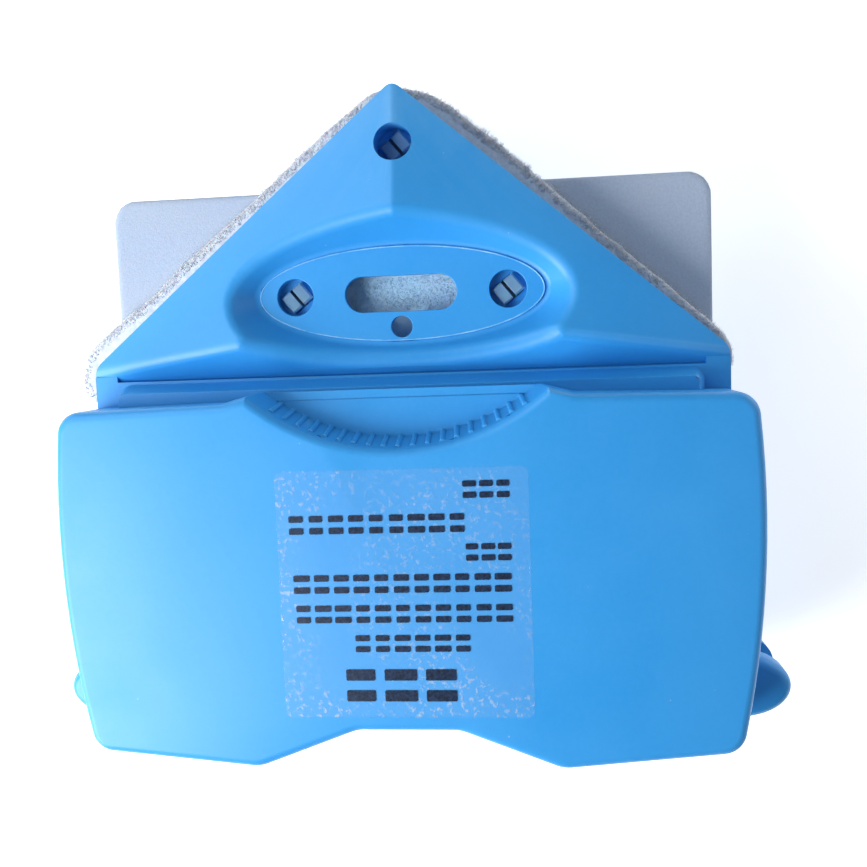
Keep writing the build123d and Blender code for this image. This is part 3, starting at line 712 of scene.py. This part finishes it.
# ---------------------------------------------------------------- pads, felts and foams
for half in HALVES:
    rng = np.random.default_rng(11 if half == "inner" else 12)
    body = half + "_half"
    upward = 1 if half == "inner" else -1
    node = half + "_cleaning_pad"
    low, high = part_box(node)
    near, far = (low.z, high.z) if upward > 0 else (high.z, low.z)
    glass = near - upward * SOFT_GAP
    outline = head_outline(node, PAD_APEX_R, PAD_CORNER_R, PAD_REAR_R)
    places, outward = walk(outline, 0.8 * MM)
    edge = swollen(places, outward, 5.0 * upward)
    form = prism([Vector(p) for p in edge], low.z + 0.2 * MM, high.z - 0.1 * MM)
    slab = softened(form, voxel=0.9 * MM, rounds=3)
    lumpy(
        slab, low.z + 0.2 * MM, high.z, coarse=500, fine=1500, coarse_depth=0.25 * MM,
        fine_depth=0.35 * MM, seed=1.0,
    )
    pad = new_piece(half + "_fleece_pad", slab, FLEECE, body)
    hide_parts(node)
    hairs = fringe(edge, outward, near, far, glass, upward, rng)
    new_piece(half + "_fleece_fringe", hairs, FLEECE, body)
    pile = nap(
        outline, 1 * MM, PILE_COUNT, near + upward * 0.3 * MM, -upward * 0.5 * MM,
        length=2.2 * MM, radius=0.12 * MM, rng=rng,
    )
    new_piece(half + "_fleece_pile", pile, FLEECE, body)

    node = half + "_pad_core"
    low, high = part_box(node)
    far = high.z if upward > 0 else low.z
    form = prism(head_outline(node, *CORE_RADII), low.z, high.z)
    core = softened(form, voxel=0.8 * MM, rounds=1)
    lumpy(
        core, low.z, high.z, coarse=300, fine=1200, coarse_depth=0.1 * MM,
        fine_depth=0.15 * MM, seed=2.0,
    )
    core = new_piece(half + "_backing_foam", core, BACKING, body)
    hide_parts(node)
    window = [Vector((x, WINDOW_Y + y)) for x, y in (
        (-WINDOW_X, -WINDOW_SIDE), (WINDOW_X, -WINDOW_SIDE), (WINDOW_X, WINDOW_SIDE),
        (-WINDOW_X, WINDOW_SIDE),
    )]
    fuzz = nap(
        window, 0, FUZZ_COUNT, far - upward * 0.3 * MM, upward * 0.9 * MM,
        length=1.6 * MM, radius=0.07 * MM, rng=rng,
    )
    new_piece(half + "_backing_fuzz", fuzz, BACKING, body)

    node = half + "_face_felt"
    low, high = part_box(node)
    near = low.z if upward > 0 else high.z
    felt_outline = box_outline(node, FELT_R)
    felt = softened(prism(felt_outline, low.z, high.z), voxel=1.1 * MM, rounds=2)
    lumpy(
        felt, low.z, high.z, coarse=200, fine=900, coarse_depth=0.1 * MM,
        fine_depth=0.2 * MM, seed=3.0,
    )
    felt = new_piece(half + "_felt_face", felt, FELT, body)
    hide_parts(node)
    lint = nap(
        felt_outline, 2 * MM, LINT_COUNT, near + upward * 0.15 * MM, -upward * 0.3 * MM,
        length=2.4 * MM, radius=0.06 * MM, rng=rng,
    )
    new_piece(half + "_felt_lint", lint, FELT, body)

low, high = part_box("spacer_sheet")
form = prism(box_outline("spacer_sheet", SPACER_R), low.z, high.z)
sheet = softened(form, voxel=0.9 * MM, rounds=1)
lumpy(
    sheet, low.z, high.z, coarse=40, fine=500, coarse_depth=0.12 * MM,
    fine_depth=0.06 * MM, seed=4.0,
)
spacer = new_piece("spacer_foam_sheet", sheet, SPACER_FOAM, "spacer")
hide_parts("spacer_sheet")


# ---------------------------------------------------------------- plateau's edge
def oval_bead(level, half_x, half_y, centre_y, radius, sides=96, around=8):
    """A thin bead, a closed ring along an oval."""
    turn = np.linspace(0, 2 * math.pi, sides, endpoint=False)
    centre = np.column_stack([half_x * np.cos(turn), centre_y + half_y * np.sin(turn)])
    outward = unit(np.column_stack([half_y * np.cos(turn), half_x * np.sin(turn)]))
    rings = []
    for step in range(around):
        roll = 2 * math.pi * step / around
        flat = centre + outward * radius * math.cos(roll)
        rings.append(np.column_stack([flat, np.full(sides, level + radius * math.sin(roll))]))
    verts = np.stack(rings, axis=1).reshape(-1, 3)
    faces = []
    for side in range(sides):
        after = (side + 1) % sides
        for step in range(around):
            up = (step + 1) % around
            faces.append((
                side * around + step, after * around + step, after * around + up,
                side * around + up,
            ))
    mesh = bpy.data.meshes.new("bead")
    mesh.from_pydata(verts.tolist(), [], faces)
    return shade_smooth(mesh)


# the bead's pale material is the painted glint of the plateau's edge
for half in HALVES:
    upward = 1 if half == "inner" else -1
    level = MIDDLE_Z + upward * (PLATEAU_LEVEL - BEAD_SINK)
    bead = oval_bead(level, PLATEAU_X, PLATEAU_Y, WINDOW_Y, BEAD_R)
    new_piece(half + "_plateau_bead", bead, BEAD, half + "_half")


# ---------------------------------------------------------------- label
def label_film(node, radius, cells):
    """The clear film, a closed thin sheet raised by small trapped bubbles."""
    low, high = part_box(node)
    side = (high.x - low.x) / 2
    centre = (low + high) / 2
    form = bmesh.new()
    layers = []
    for layer in (0, 1):
        grid = []
        for j in range(cells + 1):
            for i in range(cells + 1):
                x = (2 * i / cells - 1) * side
                y = (2 * j / cells - 1) * side
                over = Vector((max(abs(x) - side + radius, 0), max(abs(y) - side + radius, 0)))
                if over.length > radius:
                    pull = over.normalized() * radius
                    x = math.copysign(side - radius + pull.x, x)
                    y = math.copysign(side - radius + pull.y, y)
                place = Vector((x, y, 0))
                fine = max(0.0, noise.noise(place * 420) - 0.1)
                lump = fine * max(0.0, noise.noise(place * 45) + 0.2)
                bubble = min(lump * BUBBLE_RISE, BUBBLE_TOP) * MM
                height = FILM_LIFT + layer * (FILM_THICK + bubble)
                grid.append(form.verts.new((centre.x + x, centre.y + y, low.z + height)))
        layers.append(grid)
    wide = cells + 1
    for layer, grid in enumerate(layers):
        for j in range(cells):
            for i in range(cells):
                at = j * wide + i
                ring = [grid[at], grid[at + 1], grid[at + wide + 1], grid[at + wide]]
                form.faces.new(ring if layer else ring[::-1])
    rim = list(range(wide))
    rim += [j * wide + cells for j in range(1, wide)]
    rim += [cells * wide + i for i in range(cells - 1, -1, -1)]
    rim += [j * wide for j in range(cells - 1, 0, -1)]
    for first, second in zip(rim, rim[1:] + rim[:1]):
        form.faces.new([layers[0][first], layers[0][second], layers[1][second], layers[1][first]])
    return shade_smooth(finished(form, "film"))


def printed_rows(node, rows, level):
    """Plain printed blocks: each row has a start, an end and a middle in mm from the film's
    centre, a pitch and a height, and every block is two bars, one above the other."""
    low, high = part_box(node)
    centre = (low + high) / 2
    rng = np.random.default_rng(5)
    form = bmesh.new()
    for start, end, middle, pitch, height in rows:
        for index in range(round((end - start) / pitch)):
            wide = pitch * rng.uniform(*BAR_WIDTH)
            x = start + (index + 0.5) * pitch
            for lift in BAR_LIFTS:
                bar = bmesh.ops.create_cube(form, size=1)["verts"]
                size = Vector((wide, height * BAR_HEIGHT, BAR_THICK)) * MM
                bmesh.ops.scale(form, verts=bar, vec=size)
                place = Vector((x, middle + lift * height, 0)) * MM
                bmesh.ops.translate(
                    form, verts=bar, vec=(centre.x + place.x, centre.y + place.y, level)
                )
    upright = [e for e in form.edges if abs(e.verts[0].co.z - e.verts[1].co.z) > 0.01 * MM]
    bmesh.ops.bevel(
        form, geom=upright, offset=BAR_CORNER_R, segments=3, affect="EDGES", profile=0.5,
    )
    return finished(form, "bars")


film_piece = new_piece(
    "label_clear_film", label_film("inner_label", FILM_R, FILM_CELLS), FILM,
    "inner_half",
)
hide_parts("inner_label")
PRINT_ROWS = [
    (16.0, 29.3, 27.9, 4.4, 5.0), (-31.2, 17.5, 19.1, 5.4, 5.4), (16.2, 29.1, 11.2, 4.3, 5.0),
    (-30.4, 29.1, 3.0, 5.4, 5.4), (-30.3, 29.1, -5.2, 5.4, 5.2), (-14.5, 17.8, -13.3, 5.4, 5.0),
    (-18.2, 14.6, -24.8, 10.9, 9.6),
]
label_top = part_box("inner_label")[1].z
new_piece(
    "label_print", printed_rows("inner_label", PRINT_ROWS, label_top + PRINT_LIFT), INK,
    "inner_half",
)


# ---------------------------------------------------------------- studio
FLOOR_SIDE = 25.0                    # half a side; lengths in metres
FLOOR_DROP = 0.2 * MM                # keeps the floor off the object's flat back
SENSOR_WIDTH = 36
CLIP_START = 0.01
CAMERA_PLACE = (0.0372, 0.0210, 0.3326)
CAMERA_AIM = (0.0083, -0.0037, 0.060)
CAMERA_ROLL = math.radians(-2.15)
CAMERA_LENS = 41.22
SKY_COLOUR = (0.72, 0.85, 1.0, 1)
SKY_STRENGTH = 0.15
LIGHTS = [                           # name, place, aim, size, power and colour
    ("key", (-0.37, -0.20, 0.36), (-0.02, 0.0, 0.05), (0.36, 0.40), 4.2, (0.95, 0.975, 1.0)),
    ("side", (-0.36, 0.28, 0.42), (-0.03, 0.03, 0.05), (0.44, 0.36), 1.2, (0.94, 0.98, 1.0)),
    ("fill", (0.42, 0.02, 0.42), (0.0, 0.0, 0.05), (0.5, 0.5), 0.25, (0.84, 0.92, 1.0)),
    ("low_fill", (0.50, 0.26, 0.10), (0.0, 0.0, 0.04), (0.4, 0.2), 0.62, (0.88, 0.94, 1.0)),
]


def area_light(name, place, aim, size, power, colour):
    """A rectangular lamp, turned from place to aim."""
    data = bpy.data.lights.new(name, "AREA")
    data.shape = "RECTANGLE"
    data.size, data.size_y = size
    data.energy = power
    data.color = colour
    lamp = placed(name, data)
    lamp.location = place
    lamp.rotation_euler = (Vector(aim) - Vector(place)).to_track_quat("-Z", "Y").to_euler()


def studio_floor():
    """A pale floor, faintly mottled like card."""
    mat, tree = material("pale_card", Roughness=0.7, Emission_Strength=0.7)
    colour = mix(tree, grain(tree, 3, 3), (0.90, 0.905, 0.91, 1), (0.94, 0.945, 0.95, 1))
    card = bump(tree, grain(tree, 500, 2), 0.00002)
    plug(tree, Base_Color=colour, Emission_Color=colour, Normal=card)
    mesh = bpy.data.meshes.new("floor")
    side = FLOOR_SIDE
    mesh.from_pydata(
        [(-side, -side, 0), (side, -side, 0), (side, side, 0), (-side, side, 0)], [], [(0, 1, 2, 3)]
    )
    floor = placed("floor", mesh)
    floor.data.materials.append(mat)
    floor.location.z = -FLOOR_DROP


def studio_camera(place, aim, roll, lens):
    """Looks from place to aim; with no roll, the picture's up is +Y."""
    data = bpy.data.cameras.new("camera")
    data.lens = lens
    data.sensor_width = SENSOR_WIDTH
    data.clip_start = CLIP_START
    camera = placed("camera", data)
    back = (Vector(place) - Vector(aim)).normalized()
    right = Vector((0, 1, 0)).cross(back).normalized()
    up = back.cross(right)
    turn = Matrix((right, up, back)).transposed() @ Matrix.Rotation(roll, 3, "Z")
    camera.matrix_world = Matrix.Translation(place) @ turn.to_4x4()
    bpy.context.scene.camera = camera


studio_floor()
for light in LIGHTS:
    area_light(*light)
studio_camera(CAMERA_PLACE, CAMERA_AIM, CAMERA_ROLL, CAMERA_LENS)
world = bpy.data.worlds.new("studio")
world.use_nodes = True
sky = world.node_tree.nodes["Background"]
sky.inputs["Color"].default_value = SKY_COLOUR
sky.inputs["Strength"].default_value = SKY_STRENGTH
bpy.context.scene.world = world
bpy.context.scene.view_settings.view_transform = "Standard"
